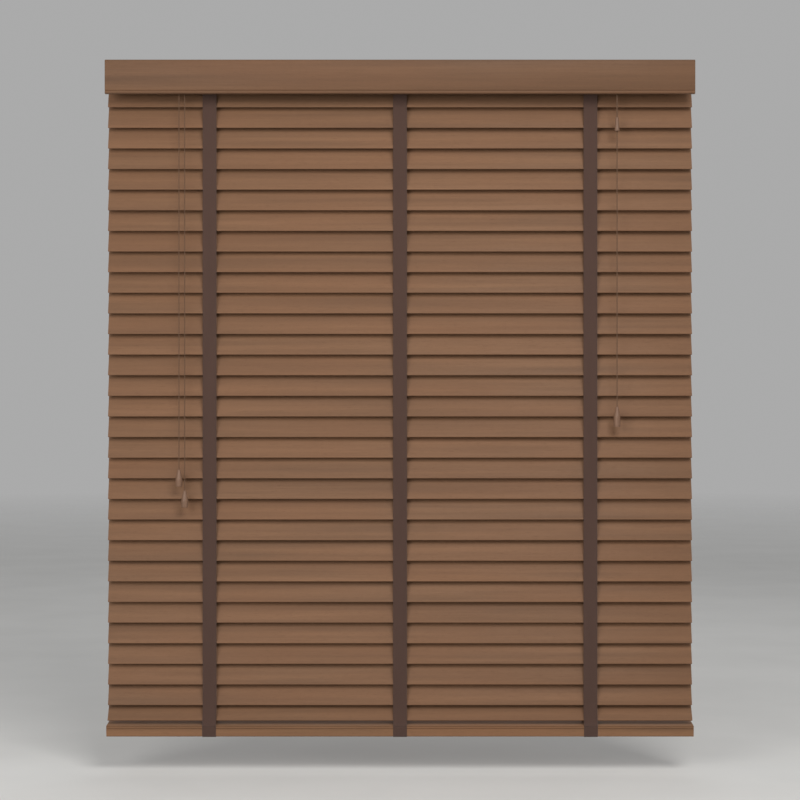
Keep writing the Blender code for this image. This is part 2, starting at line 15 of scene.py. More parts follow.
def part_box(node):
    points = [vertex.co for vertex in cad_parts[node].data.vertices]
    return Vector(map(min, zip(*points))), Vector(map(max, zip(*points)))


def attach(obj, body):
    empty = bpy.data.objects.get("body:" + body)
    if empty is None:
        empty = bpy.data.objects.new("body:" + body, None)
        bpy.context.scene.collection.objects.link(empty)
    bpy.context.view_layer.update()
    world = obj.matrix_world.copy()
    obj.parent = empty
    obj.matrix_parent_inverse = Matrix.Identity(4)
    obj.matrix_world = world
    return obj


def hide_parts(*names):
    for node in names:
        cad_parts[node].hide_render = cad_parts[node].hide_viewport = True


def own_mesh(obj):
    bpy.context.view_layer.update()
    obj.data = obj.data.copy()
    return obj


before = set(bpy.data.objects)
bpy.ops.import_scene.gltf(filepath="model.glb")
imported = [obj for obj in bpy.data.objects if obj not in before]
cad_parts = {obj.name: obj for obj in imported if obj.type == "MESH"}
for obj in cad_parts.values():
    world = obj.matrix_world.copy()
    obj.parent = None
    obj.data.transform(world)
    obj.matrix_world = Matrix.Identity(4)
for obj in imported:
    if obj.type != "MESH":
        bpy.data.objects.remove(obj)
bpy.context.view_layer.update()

# ---------------------------------------------------------------- sizes, as in the part
MM = 0.001
SIDES = {"left": -1, "right": 1}
LADDER_X = {"left": -391 * MM, "center": 0.0, "right": 391 * MM}

SLAT_COUNT = 31
SLAT_LENGTH = 1200 * MM
SLAT_WIDTH = 50 * MM
SLAT_THICKNESS = 3 * MM
SLAT_EDGE_RADIUS = 1.2 * MM
CLOSED_TILT = math.radians(70)
LAST_SLAT_TILT = math.radians(52)
SLOT_LENGTH = 18 * MM
SLOT_WIDTH = 5 * MM

ROD_Z = -20 * MM
DRUM_RADIUS = 13.6 * MM
HEADRAIL_LENGTH = 1196 * MM
HEADRAIL_DEPTH = 54 * MM
HEADRAIL_TOP = -1.5 * MM
HEADRAIL_BOTTOM = -39.5 * MM
HEADRAIL_WALL = 1 * MM
HEADRAIL_LIP = 5 * MM

VALANCE_BACK = -37.5 * MM
VALANCE_THICKNESS = 9.5 * MM
VALANCE_GROOVE_Z = -63 * MM

CORD_Y = -32.5 * MM
TILTER_X = -445.8 * MM
WORM_Z = -31.9 * MM
PULLEY_PITCH_RADIUS = 5.85 * MM
TILT_CORD_RADIUS = 0.9 * MM
TILT_TRAVEL = 137.2 * MM
TILT_TASSEL_TOP = {"left": -836.4 * MM, "right": -879.2 * MM}
TILT_TASSEL_LENGTH = 34.5 * MM

LOCK_X = 443.5 * MM
LIFT_CORD_RADIUS = 1 * MM
LIFT_RUN_Y = 18.5 * MM
LIFT_RUN_Z = -25 * MM
LIFT_TRAVEL = 79 * MM
CONNECTOR_TOP = -116.5 * MM
CONNECTOR_BOTTOM = -144.5 * MM
PULL_TASSEL_TOP = -707.9 * MM
PULL_TASSEL_BOTTOM = -749.2 * MM

RAIL_DEPTH = 50 * MM
RAIL_TOP = -1361.3 * MM
RAIL_BOTTOM = -1383.8 * MM
RAIL_LEAN = math.radians(4.7)
RAIL_CORNER = 2.5 * MM
RAIL_BEAD_RADIUS = 1.25 * MM
RAIL_GROOVE = 1.5 * MM
RAIL_HOLE_RADIUS = 2.5 * MM
RAIL_RECESS_RADIUS = 6.5 * MM
RAIL_RECESS_DEPTH = 9 * MM
RAIL_LENGTH = 1203 * MM

TAPE_WIDTH = 28 * MM
TAPE_THICKNESS = 0.6 * MM
RUNG_WIDTH = 5 * MM
RUNG_THICKNESS = 0.45 * MM
RUNG_OFFSET = 8 * MM

CHANCE = random.Random(31)


def slat_height(number):
    """The height of a slat's middle."""
    low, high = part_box(f"slat_{number:02d}")
    return (low.z + high.z) / 2


def slat_tilt(number):
    """How far a slat is turned from level. The last one rests flatter on the rail."""
    return LAST_SLAT_TILT if number == SLAT_COUNT else CLOSED_TILT


def leaned(points):
    """Points (y, z) of the level rail, turned about its top front edge so that its back stands higher."""
    pivot = Vector((-RAIL_DEPTH / 2, RAIL_TOP))
    turn = Matrix.Rotation(RAIL_LEAN, 2)
    return [tuple(pivot + turn @ (Vector(point) - pivot)) for point in points]


# ---------------------------------------------------------------- camera
CAMERA_SENSOR = 36.0
CAMERA_LENS = 91.97
CAMERA_PLACE = (0.0, -4.2085, -0.694)


def make_camera():
    """Square on to the blind, level with its middle."""
    data = bpy.data.cameras.new("camera")
    data.sensor_width = CAMERA_SENSOR
    data.lens = CAMERA_LENS
    made = bpy.data.objects.new("camera", data)
    made.location = CAMERA_PLACE
    made.rotation_euler = (math.radians(90), 0.0, 0.0)
    bpy.context.scene.collection.objects.link(made)
    bpy.context.scene.camera = made


make_camera()


# ---------------------------------------------------------------- node helpers
def add(tree, kind, inputs=None, **settings):
    """Adds a shader node. An input is a socket to link from, or a value."""
    made = tree.nodes.new(kind)
    for key, value in settings.items():
        setattr(made, key, value)
    for key, value in (inputs or {}).items():
        if isinstance(value, bpy.types.NodeSocket):
            tree.links.new(value, made.inputs[key])
        else:
            made.inputs[key].default_value = value
    return made


def calculate(tree, operation, first, second=0.0, third=0.0):
    """One step of arithmetic on sockets or numbers."""
    made = add(tree, "ShaderNodeMath", {0: first, 1: second, 2: third}, operation=operation)
    return made.outputs[0]


def noise(tree, vector, scale, detail=3.0, roughness=0.5):
    """Soft random values from 0 to 1."""
    inputs = {"Vector": vector, "Scale": scale, "Detail": detail, "Roughness": roughness}
    return add(tree, "ShaderNodeTexNoise", inputs).outputs["Fac"]


def spread(tree, value, low, high, to_low=0.0, to_high=1.0):
    """Maps one range of a value to another, and keeps it inside."""
    inputs = {"Value": value, "From Min": low, "From Max": high, "To Min": to_low, "To Max": to_high}
    return add(tree, "ShaderNodeMapRange", inputs).outputs["Result"]


def blend_colours(tree, factor, first, second):
    """Mixes two colours, each a socket or three numbers."""
    made = add(tree, "ShaderNodeMix", {0: factor}, data_type="RGBA")
    for socket, value in ((made.inputs[6], first), (made.inputs[7], second)):
        if isinstance(value, bpy.types.NodeSocket):
            tree.links.new(value, socket)
        else:
            socket.default_value = (*value, 1.0)
    return made.outputs[2]


def stretched(tree, scale):
    """Places on the piece, each piece with its own start, stretched by scale."""
    place = add(tree, "ShaderNodeTexCoord").outputs["Object"]
    seed = add(tree, "ShaderNodeAttribute", attribute_name="seed").outputs["Fac"]
    start = add(tree, "ShaderNodeCombineXYZ", {"X": seed, "Y": seed, "Z": seed}).outputs[0]
    moved = add(tree, "ShaderNodeVectorMath", {0: place, 1: start}, operation="ADD").outputs[0]
    made = add(tree, "ShaderNodeVectorMath", {0: moved, 1: scale}, operation="MULTIPLY")
    return made.outputs[0]


def bump(tree, height, distance, strength):
    """Surface relief from a height, as deep as the distance in metres."""
    inputs = {"Height": height, "Distance": distance, "Strength": strength}
    return add(tree, "ShaderNodeBump", inputs).outputs[0]


def tinted(colour, *shares):
    """A colour times one share, or times a share for each of its channels."""
    return tuple(value * share for value, share in zip(colour, shares * 3))


def new_material(name, **values):
    """A material and its Principled shader, with the shader's own sockets set."""
    made = bpy.data.materials.new(name)
    made.use_nodes = True
    shader = made.node_tree.nodes["Principled BSDF"]
    for key, value in values.items():
        shader.inputs[key.replace("_", " ")].default_value = value
    return made, made.node_tree, shader


# ---------------------------------------------------------------- materials
GRAIN_RELIEF = 0.12 * MM
WEAVE_RELIEF = 0.12 * MM
BRAID_RELIEF = 0.18 * MM
PEEL_RELIEF = 0.06 * MM
DRAWN_RELIEF = 0.03 * MM
MOULD_RELIEF = 0.04 * MM
EVEN = (1.0, 1.0, 1.0)


def stained_wood(name, colour, along, satin=0.4, shine=0.3):
    """Brown stained, lacquered wood with its grain along one axis: streaks, fine fibres and short pores."""
    made, tree, shader = new_material(
        name, Coat_Weight=0.1 * shine, Coat_Roughness=0.3, Specular_IOR_Level=shine
    )
    long = [1.0 if axis == along else 0.0 for axis in "XYZ"]

    def grain(lengthwise, across):
        return stretched(tree, tuple(lengthwise * share + across * (1 - share) for share in long))

    streaks = noise(tree, grain(1.6, 60.0), 1.0, 4.0, 0.55)
    clouds = noise(tree, grain(2.5, 9.0), 1.0, 2.0)
    fibres = noise(tree, grain(14.0, 520.0), 1.0, 4.0, 0.6)
    pores = spread(tree, noise(tree, grain(70.0, 1900.0), 1.0, 2.0), 0.60, 0.70)
    dark = tinted(colour, 0.78)
    light = tinted(colour, 1.14, 1.12, 1.08)
    warm = tinted(colour, 1.08, 0.96, 0.88)
    base = blend_colours(tree, spread(tree, streaks, 0.3, 0.7), dark, light)
    base = blend_colours(tree, spread(tree, clouds, 0.35, 0.75, 0.0, 0.5), base, warm)
    base = blend_colours(tree, spread(tree, fibres, 0.3, 0.75, 0.0, 0.32), base, dark)
    base = blend_colours(tree, calculate(tree, "MULTIPLY", pores, 0.35), base, tinted(colour, 0.4))
    tree.links.new(base, shader.inputs["Base Color"])
    rough = calculate(tree, "ADD", spread(tree, fibres, 0.2, 0.8, 0.0, 0.14), satin)
    rough = calculate(tree, "ADD", rough, spread(tree, clouds, 0.2, 0.8, -0.04, 0.05))
    tree.links.new(rough, shader.inputs["Roughness"])
    relief = calculate(tree, "SUBTRACT", fibres, pores)
    tree.links.new(bump(tree, relief, GRAIN_RELIEF, 0.5), shader.inputs["Normal"])
    return made


def woven_tape(name, colour):
    """Cotton ladder tape: ribs along it, picks across it in a twill, and a firmer selvedge."""
    made, tree, shader = new_material(name, Sheen_Weight=0.25, Sheen_Roughness=0.5, Specular_IOR_Level=0.2)
    rib_pitch = 0.55
    twill_pitch = 1.1
    twill_slope = 1.6
    selvedge_start = 12.2
    selvedge_end = 12.8
    weave = add(tree, "ShaderNodeUVMap", uv_map="weave").outputs[0]
    parts = add(tree, "ShaderNodeSeparateXYZ", {0: weave})
    across, along = parts.outputs[0], parts.outputs[1]
    ribs = calculate(tree, "SINE", calculate(tree, "MULTIPLY", across, math.tau / rib_pitch))
    slant = calculate(tree, "ADD", calculate(tree, "MULTIPLY", across, twill_slope), along)
    twill = calculate(tree, "SINE", calculate(tree, "MULTIPLY", slant, math.tau / twill_pitch))
    thread = calculate(tree, "MULTIPLY_ADD", ribs, 0.5, calculate(tree, "MULTIPLY", twill, 0.5))
    edge = spread(tree, calculate(tree, "ABSOLUTE", across), selvedge_start, selvedge_end)
    thread = calculate(tree, "MULTIPLY_ADD", edge, ribs, thread)
    fuzz = noise(tree, stretched(tree, EVEN), 2600.0, 3.0, 0.7)
    wear = noise(tree, stretched(tree, (60.0, 60.0, 9.0)), 1.0, 3.0)
    light = tinted(colour, 1.25)
    base = blend_colours(tree, spread(tree, thread, -1.0, 1.0), tinted(colour, 0.62), light)
    base = blend_colours(tree, spread(tree, fuzz, 0.35, 0.75, 0.0, 0.4), base, tinted(colour, 1.5))
    base = blend_colours(tree, spread(tree, wear, 0.3, 0.8, 0.0, 0.35), base, light)
    tree.links.new(base, shader.inputs["Base Color"])
    tree.links.new(spread(tree, fuzz, 0.2, 0.8, 0.82, 0.97), shader.inputs["Roughness"])
    height = calculate(tree, "MULTIPLY_ADD", fuzz, 0.6, thread)
    tree.links.new(bump(tree, height, WEAVE_RELIEF, 0.7), shader.inputs["Normal"])
    return made


def braided_cord(name, colour):
    """Braided polyester cord: strands that cross in two helices."""
    made, tree, shader = new_material(name, Sheen_Weight=0.08, Sheen_Roughness=0.4, Specular_IOR_Level=0.25)
    weave = add(tree, "ShaderNodeUVMap", uv_map="weave").outputs[0]
    parts = add(tree, "ShaderNodeSeparateXYZ", {0: weave})
    around, along = parts.outputs[0], parts.outputs[1]
    strands = 4.0
    lay = 0.55
    turns = []
    for slope in (lay, -lay):
        helix = calculate(tree, "MULTIPLY_ADD", along, slope, around)
        turns.append(calculate(tree, "SINE", calculate(tree, "MULTIPLY", helix, strands * math.tau)))
    braid = calculate(tree, "MAXIMUM", turns[0], turns[1])
    fuzz = noise(tree, stretched(tree, (1.0, 1.0, 0.4)), 3200.0, 2.0, 0.7)
    light = tinted(colour, 1.3)
    base = blend_colours(tree, spread(tree, braid, -0.6, 1.0), tinted(colour, 0.5), light)
    base = blend_colours(tree, spread(tree, fuzz, 0.4, 0.8, 0.0, 0.35), base, light)
    tree.links.new(base, shader.inputs["Base Color"])
    tree.links.new(spread(tree, braid, -1.0, 1.0, 0.85, 0.6), shader.inputs["Roughness"])
    height = calculate(tree, "MULTIPLY_ADD", fuzz, 0.3, braid)
    tree.links.new(bump(tree, height, BRAID_RELIEF, 0.9), shader.inputs["Normal"])
    return made


def painted_steel(name, colour):
    """Stove enamel on folded sheet: orange peel, a little dust and rubbed spots."""
    made, tree, shader = new_material(name, Coat_Weight=0.2, Coat_Roughness=0.25)
    peel = noise(tree, stretched(tree, EVEN), 900.0, 2.0)
    dust = noise(tree, stretched(tree, (1.0, 3.0, 3.0)), 24.0, 5.0, 0.65)
    rub = spread(tree, noise(tree, stretched(tree, (0.6, 2.0, 2.0)), 150.0, 4.0, 0.7), 0.66, 0.72)
    light = tuple(0.3 + value * 0.5 for value in colour)
    base = blend_colours(tree, spread(tree, dust, 0.45, 0.85, 0.0, 0.25), colour, light)
    base = blend_colours(tree, calculate(tree, "MULTIPLY", rub, 0.5), base, tinted(colour, 0.55))
    tree.links.new(base, shader.inputs["Base Color"])
    tree.links.new(spread(tree, dust, 0.3, 0.8, 0.32, 0.55), shader.inputs["Roughness"])
    tree.links.new(bump(tree, peel, PEEL_RELIEF, 0.5), shader.inputs["Normal"])
    return made


def plated_steel(name, along):
    """Zinc-plated bar with drawing lines along it and cloudy passivation."""
    made, tree, shader = new_material(name, Metallic=1.0)
    scale = tuple(3.0 if axis == along else 900.0 for axis in "XYZ")
    lines = noise(tree, stretched(tree, scale), 1.0, 3.0)
    cloud = noise(tree, stretched(tree, EVEN), 60.0, 4.0)
    base = blend_colours(tree, spread(tree, cloud, 0.3, 0.7), (0.42, 0.43, 0.44), (0.62, 0.61, 0.58))
    base = blend_colours(tree, spread(tree, lines, 0.4, 0.8, 0.0, 0.4), base, (0.3, 0.3, 0.31))
    tree.links.new(base, shader.inputs["Base Color"])
    tree.links.new(spread(tree, lines, 0.2, 0.8, 0.24, 0.46), shader.inputs["Roughness"])
    tree.links.new(bump(tree, lines, DRAWN_RELIEF, 0.5), shader.inputs["Normal"])
    return made


def moulded_plastic(name, colour):
    """Injection-moulded acetal: a fine spark-eroded grain and faint flow marks."""
    made, tree, shader = new_material(name, Subsurface_Weight=0.05, Subsurface_Scale=0.002)
    grain = noise(tree, stretched(tree, EVEN), 2400.0, 2.0)
    flow = noise(tree, stretched(tree, (1.0, 1.0, 2.5)), 45.0, 4.0, 0.6)
    base = blend_colours(tree, spread(tree, flow, 0.3, 0.75), colour, tinted(colour, 0.84))
    tree.links.new(base, shader.inputs["Base Color"])
    tree.links.new(spread(tree, flow, 0.2, 0.8, 0.36, 0.54), shader.inputs["Roughness"])
    tree.links.new(bump(tree, grain, MOULD_RELIEF, 0.5), shader.inputs["Normal"])
    return made


WOOD = stained_wood("stained_wood", (0.190, 0.104, 0.060), "X", 0.48, 0.12)
# The rail's copy of the slats' stained wood, made lighter than theirs: painted light.
RAIL_WOOD_PAINTED_LIGHT = stained_wood("stained_wood_rail_painted_light", (0.226, 0.124, 0.070), "X", 0.5, 0.08)
# The valance's copy of the slats' stained wood, made darker than theirs: painted shade.
VALANCE_WOOD_PAINTED_SHADE = stained_wood("stained_wood_valance_painted_shade", (0.146, 0.079, 0.045), "X", 0.46, 0.15)
TASSEL_WOOD = stained_wood("tassel_wood", (0.178, 0.104, 0.068), "Z", 0.36)
TAPE = woven_tape("ladder_tape", (0.066, 0.036, 0.027))
CORD = braided_cord("braided_cord", (0.118, 0.064, 0.036))
STEEL = painted_steel("painted_steel", (0.15, 0.095, 0.065))
ROD_STEEL = plated_steel("rod_steel", "X")
PLASTIC = moulded_plastic("moulded_plastic", (0.62, 0.56, 0.46))


# ---------------------------------------------------------------- mesh helpers
def in_mm(points):
    """Points written in millimetres, as metres."""
    return [tuple(value * MM for value in point) for point in points]


def arc(centre, radius, start, end, count):
    """Points on a circle arc, between two angles in degrees."""
    angles = [math.radians(start + (end - start) * i / (count - 1)) for i in range(count)]
    return [(centre[0] + radius * math.cos(a), centre[1] + radius * math.sin(a)) for a in angles]


def eased(points, rounds=2):
    """The same open line with its corners cut round."""
    for _ in range(rounds):
        cut = [points[0]]
        for first, second in zip(points, points[1:]):
            first, second = Vector(first), Vector(second)
            cut += [first.lerp(second, 0.25), first.lerp(second, 0.75)]
        points = cut + [points[-1]]
    return [Vector(point) for point in points]


def piece(name, work, material, body, stands_for=(), smooth_angle=35, place=None):
    """A mesh object from a bmesh, in place, with a material, on its body."""
    mesh = bpy.data.meshes.new(name)
    bmesh.ops.recalc_face_normals(work, faces=work.faces)
    work.to_mesh(mesh)
    work.free()
    return finished(name, mesh, material, body, stands_for, smooth_angle, place)


def finished(name, mesh, material, body, stands_for=(), smooth_angle=35, place=None):
    """An object from a mesh, with its own start in the material's pattern, on its body."""
    mesh.shade_smooth()
    mesh.set_sharp_from_angle(angle=math.radians(smooth_angle))
    start = CHANCE.uniform(0.0, 40.0)
    seed = mesh.attributes.new("seed", "FLOAT", "POINT")
    seed.data.foreach_set("value", [start] * len(mesh.vertices))
    mesh.materials.clear()
    mesh.materials.append(material)
    made = bpy.data.objects.new(name, mesh)
    bpy.context.scene.collection.objects.link(made)
    if place is not None:
        made.matrix_world = place
    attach(made, body)
    if stands_for:
        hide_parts(*stands_for)
    return made


def loft(work, rings, closed_ends=True):
    """Joins rings of points into a skin, with a face on each end."""
    rows = [[work.verts.new(point) for point in ring] for ring in rings]
    count = len(rows[0])
    faces = []
    for first, second in zip(rows, rows[1:]):
        for i in range(count):
            j = (i + 1) % count
            faces.append(work.faces.new((first[i], first[j], second[j], second[i])))
    if closed_ends:
        work.faces.new(rows[0])
        work.faces.new(list(reversed(rows[-1])))
    return faces


def inset(outline, amount):
    """A closed outline moved inwards by an even amount."""
    count = len(outline)
    moved = []
    for i, point in enumerate(outline):
        point = Vector(point)
        before = (point - Vector(outline[i - 1])).normalized()
        after = (Vector(outline[(i + 1) % count]) - point).normalized()
        inward = Vector((-before.y - after.y, before.x + after.x))
        moved.append(point + inward.normalized() * amount)
    return moved


def board(outline, length, easing):
    """A section of (y, z) points, anticlockwise, run along X, with its ends eased."""
    work = bmesh.new()
    half = length / 2
    steps = [(0.0, easing), (0.3 * easing, 0.3 * easing), (easing, 0.0)]
    ends = [(-half + along, inward) for along, inward in steps]
    ends += [(half - along, inward) for along, inward in reversed(steps)]
    rings = [[(x, y, z) for y, z in inset(outline, inward)] for x, inward in ends]
    loft(work, rings)
    return work


def straight_tube(low, high, radius, sides=24):
    """A bmesh cylinder between two points."""
    low, high = Vector(low), Vector(high)
    work = bmesh.new()
    turn = (high - low).to_track_quat("Z", "Y").to_matrix().to_4x4()
    place = Matrix.Translation((low + high) / 2) @ turn
    depth = (high - low).length
    bmesh.ops.create_cone(
        work, cap_ends=True, segments=sides, radius1=radius, radius2=radius, depth=depth, matrix=place
    )
    return work


def block(low, high, bevel=0.0):
    """A bmesh box between two corners, with its edges bevelled."""
    low, high = Vector(low), Vector(high)
    work = bmesh.new()
    place = Matrix.Translation((low + high) / 2) @ Matrix.Diagonal((*(high - low), 1.0))
    bmesh.ops.create_cube(work, size=1.0, matrix=place)
    if bevel > 0:
        bmesh.ops.bevel(work, geom=work.edges[:], offset=bevel, segments=2, profile=0.5, affect="EDGES")
    return work


def boolean(work, tools):
    """Cuts bmesh tools out of a bmesh, and returns the resulting mesh."""
    scene = bpy.context.scene.collection
    used = []
    for shape in [work, *tools]:
        mesh = bpy.data.meshes.new("boolean")
        bmesh.ops.recalc_face_normals(shape, faces=shape.faces)
        shape.to_mesh(mesh)
        shape.free()
        thing = bpy.data.objects.new("boolean", mesh)
        scene.objects.link(thing)
        used.append(thing)
    for tool in used[1:]:
        modifier = used[0].modifiers.new("boolean", "BOOLEAN")
        modifier.operation = "DIFFERENCE"
        modifier.solver = "EXACT"
        modifier.object = tool
    depsgraph = bpy.context.evaluated_depsgraph_get()
    result = bpy.data.meshes.new_from_object(used[0].evaluated_get(depsgraph))
    for thing in used:
        bpy.data.objects.remove(thing, do_unlink=True)
    return result


def lathe(profile, steps=48):
    """A profile of (radius, height) points turned about Z; it closes on the axis or on itself."""
    work = bmesh.new()
    rows = []
    for radius, height in profile:
        if radius == 0.0:
            rows.append([work.verts.new((0.0, 0.0, height))])
            continue
        angles = [math.tau * i / steps for i in range(steps)]
        rows.append([work.verts.new((radius * math.cos(a), radius * math.sin(a), height)) for a in angles])
    pairs = list(zip(rows, rows[1:]))
    if profile[0][0] > 0.0:
        pairs.append((rows[-1], rows[0]))
    for first, second in pairs:
        for i in range(steps):
            j = (i + 1) % steps
            corners = [first[i % len(first)], first[j % len(first)]]
            corners += [second[j % len(second)], second[i % len(second)]]
            work.faces.new(list(dict.fromkeys(corners)))
    return work


def tube(route, radius, sides=12):
    """A round cord along a route, with UVs of turns round it and of its own girths along it."""
    work = bmesh.new()
    layer = work.loops.layers.uv.new("weave")
    route = [Vector(point) for point in route]
    rings = []
    side = None
    for i, point in enumerate(route):
        ahead = route[min(i + 1, len(route) - 1)] - route[max(i - 1, 0)]
        ahead.normalize()
        if side is None:
            side = ahead.orthogonal()
        side = (side - ahead * side.dot(ahead)).normalized()
        other = ahead.cross(side)
        angles = [math.tau * k / sides for k in range(sides)]
        rings.append([point + (side * math.cos(a) + other * math.sin(a)) * radius for a in angles])
    lengths = [0.0]
    for first, second in zip(route, route[1:]):
        lengths.append(lengths[-1] + (second - first).length)
    faces = loft(work, rings)
    for number, face in enumerate(faces):
        row, column = divmod(number, sides)
        corners = ((row, column), (row, column + 1), (row + 1, column + 1), (row + 1, column))
        for loop, (ring, turn) in zip(face.loops, corners):
            loop[layer].uv = (turn / sides, lengths[ring] / (math.tau * radius))
    return work


def ribbon(x, route, width=TAPE_WIDTH, thickness=TAPE_THICKNESS, rim=0.2 * MM):
    """A flat strip along a route of (y, z) points, with UVs of millimetres across and along it."""
    work = bmesh.new()
    layer = work.loops.layers.uv.new("weave")
    route = [Vector(point).to_2d() for point in route]
    half, thick = width / 2, thickness / 2
    girth = [(-half, -0.4 * thick), (rim - half, -thick), (half - rim, -thick), (half, -0.4 * thick)]
    girth += [(across, -out) for across, out in reversed(girth)]
    rings = []
    lengths = [0.0]
    for i, point in enumerate(route):
        ahead = (route[min(i + 1, len(route) - 1)] - route[max(i - 1, 0)]).normalized()
        out = Vector((ahead.y, -ahead.x))
        rings.append([(x + across, *(point + out * off)) for across, off in girth])
        if i:
            lengths.append(lengths[-1] + (point - route[i - 1]).length)
    faces = loft(work, rings)
    count = len(girth)
    for number, face in enumerate(faces):
        row, column = divmod(number, count)
        corners = ((row, column), (row, column + 1), (row + 1, column + 1), (row + 1, column))
        for loop, (ring, corner) in zip(face.loops, corners):
            across = girth[corner % count][0]
            loop[layer].uv = (across / MM, lengths[ring] / MM)
    return work


def take_in(work, shape):
    """Moves a bmesh shape into another bmesh."""
    mesh = bpy.data.meshes.new("shape")
    shape.to_mesh(mesh)
    shape.free()
    work.from_mesh(mesh)
    bpy.data.meshes.remove(mesh)


def along_line(start, end, step):
    """Evenly spaced points from start to end, both included."""
    start, end = Vector(start), Vector(end)
    count = max(1, round((end - start).length / step))
    return [start.lerp(end, i / count) for i in range(count + 1)]


# ---------------------------------------------------------------- tassels and hanging cords
CORD_STEP = 20 * MM
SLEEVE_GAP = 0.06 * MM
BUNDLE_RADIUS = 0.78 * MM
BUNDLE_SPREAD = 0.9 * MM
BUNDLE = [Vector((*place, 0.0)) for place in arc((0.0, 0.0), BUNDLE_SPREAD, 210, 450, 3)]


def turned_piece(name, x, top, profile, body, node):
    """A turned wood piece that hangs on a cord, with its top at a height."""
    place = Matrix.Translation((x, CORD_Y, top))
    return piece(name, lathe(profile), TASSEL_WOOD, body, (node,), 30, place)


def bell(bore, profile, length, wall, depth):
    """Closes an outer profile into a bell: rounded rim, hollow below, bore above."""
    rim = profile[-1][0]
    inner = rim - wall
    taper = 0.92
    closing = [(rim - 0.3 * MM, -length + 0.2 * MM), (rim - 0.9 * MM, -length), (inner + 0.3 * MM, -length)]
    closing += [(inner, -length + 0.5 * MM), (inner * taper, -depth), (bore, -depth + 2 * MM)]
    return [(bore, -0.2 * MM), (bore + 0.3 * MM, 0.0)] + profile + closing


def tilt_tassel(side):
    """A bell that widens to a low shoulder and draws in a little towards its rim."""
    x = TILTER_X + SIDES[side] * PULLEY_PITCH_RADIUS
    outer = [(2.4, 0.0), (2.8, -0.3), (3.1, -1.0), (5.1, -10.2), (6.9, -18.6), (7.2, -20.4), (7.2, -21.8)]
    outer += [(6.9, -27.0), (6.55, -32.8), (6.3, -33.9)]
    profile = bell(TILT_CORD_RADIUS + 0.2 * MM, in_mm(outer), TILT_TASSEL_LENGTH, 2.4 * MM, 12 * MM)
    return turned_piece(
        "tilt_bell_" + side, x, TILT_TASSEL_TOP[side], profile, "tilt_pull_" + side, "tilt_tassel_" + side
    )


def connector_bell():
    """A slim bell where the lift cords are knotted to the pull cord."""
    length = CONNECTOR_TOP - CONNECTOR_BOTTOM
    outer = [(2.9, 0.0), (3.3, -0.4), (3.4, -1.2), (3.6, -11.0), (4.0, -16.0), (4.6, -20.0), (5.2, -24.0)]
    outer += [(5.35, -26.0), (5.3, -27.2)]
    profile = bell(LIFT_CORD_RADIUS + 1.3 * MM, in_mm(outer), length, 1.6 * MM, 14 * MM)
    return turned_piece("connector_bell", LOCK_X, CONNECTOR_TOP, profile, "pull", "cord_connector")


def pull_bell():
    """A longer bell on the pull cord, with a straight skirt and a fine groove above its rim."""
    length = PULL_TASSEL_TOP - PULL_TASSEL_BOTTOM
    outer = [(2.0, 0.0), (2.3, -0.3), (2.6, -1.0), (4.3, -9.0), (5.4, -13.5), (6.3, -16.8), (6.8, -19.6)]
    outer += [(6.9, -22.0), (6.9, -37.6), (6.5, -38.2), (6.9, -38.8), (6.8, -40.4)]
    profile = bell(LIFT_CORD_RADIUS + 0.2 * MM, in_mm(outer), length, 2.2 * MM, 20 * MM)
    return turned_piece("pull_bell", LOCK_X, PULL_TASSEL_TOP, profile, "pull", "pull_tassel")


def knot(name, centre, cord_radius, body, size=2.2):
    """An overhand knot pulled tight, as a trefoil of cord."""
    reach = size * cord_radius
    rise = 0.9 * cord_radius
    steps = 40
    route = []
    for i in range(steps + 1):
        t = math.tau * i / steps
        x = (math.sin(t) + 2 * math.sin(2 * t)) / 3 * reach
        y = (math.cos(t) - 2 * math.cos(2 * t)) / 3 * reach
        route.append(Vector(centre) + Vector((x, y, -math.sin(3 * t) * rise)))
    return piece(name, tube(route, cord_radius * 0.95, 10), CORD, body)


def tilt_route(side):
    """Over the pulley from its top, then straight down into the tassel."""
    sign = SIDES[side]
    into_tassel = 14 * MM
    over = arc((TILTER_X, WORM_Z), PULLEY_PITCH_RADIUS, 90 - sign * 5, 90 - sign * 90, 12)
    route = [Vector((x, CORD_Y, z)) for x, z in over]
    bottom = Vector((route[-1].x, CORD_Y, TILT_TASSEL_TOP[side] - into_tassel))
    return route + along_line(route[-1], bottom, CORD_STEP)[1:]


def tilt_cords():
    """The left cord moves with its tassel. The right one slides out from inside a fixed length."""
    for side, length in (("left", 0.827), ("right", 0.870)):
        tassel = tilt_tassel(side)
        route = tilt_route(side)
        body = "tilt_pull_left" if side == "left" else "headrail"
        node = "tilt_cord_" + side
        cord = piece("tilt_line_" + side, tube(route, TILT_CORD_RADIUS), CORD, body, (node,))
        end = route[-1]
        knot("tilt_knot_" + side, end - Vector((0, 0, 1.6 * MM)), TILT_CORD_RADIUS, "tilt_pull_" + side, 1.8)
        if side == "left":
            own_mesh(cord)
            continue
        inner = along_line(end + Vector((0, 0, TILT_TRAVEL + 30 * MM)), end, CORD_STEP)
        work = tube(inner, TILT_CORD_RADIUS - SLEEVE_GAP)
        piece("tilt_line_right_paid_out", work, CORD, "tilt_pull_right")


